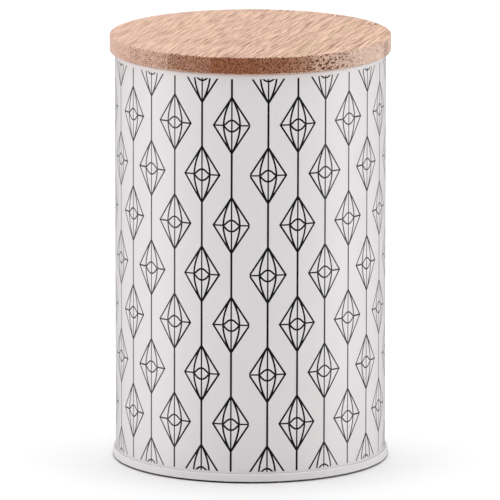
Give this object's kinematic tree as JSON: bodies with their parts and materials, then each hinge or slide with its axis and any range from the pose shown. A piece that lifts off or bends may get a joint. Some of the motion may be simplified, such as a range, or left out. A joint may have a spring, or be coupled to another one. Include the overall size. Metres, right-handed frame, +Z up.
{
  "type": "coffee tin",
  "caption": "Round printed tinplate canister with a rolled mouth and double-seamed base, closed by a push-in bamboo lid with a silicone ring.",
  "frame": {"origin": "centre of the standing plane, under the base seam", "axes": "+Z up along the tin's axis towards the lid; -Y is the front that faces a viewer; the wall's lock seam is at the back, at +Y"},
  "size_m": [0.1142, 0.1142, 0.1747],
  "materials": {
    "lacquered_tinplate": "satin white lacquer outside, printed with fine black lines; clear lacquer inside",
    "sealing_compound": "matt",
    "silicone": "translucent, soft sheen",
    "bamboo": "sanded, thin matt oil"
  },
  "bodies": {
    "tin": {"base_end": "lacquered_tinplate", "body_wall": "lacquered_tinplate", "seam_compound": "sealing_compound"},
    "seal": {"seal_ring": "silicone"},
    "lid": {"lid_plug_strip_1": "bamboo", "lid_plug_strip_2": "bamboo", "lid_plug_strip_3": "bamboo", "lid_plug_strip_4": "bamboo", "lid_plug_strip_5": "bamboo", "lid_top_strip_1": "bamboo", "lid_top_strip_2": "bamboo", "lid_top_strip_3": "bamboo", "lid_top_strip_4": "bamboo", "lid_top_strip_5": "bamboo", "lid_top_strip_6": "bamboo"}
  },
  "joints": [
    {"name": "lid_lift", "type": "slide", "parent": "tin", "child": "seal", "axis": [0, 0, 1], "range_m": [0, 0.12]},
    {"name": "lid_turn", "type": "hinge", "parent": "seal", "child": "lid", "pos_m": [0, 0, 0.1677], "axis": [0, 0, 1], "continuous": true}
  ]
}
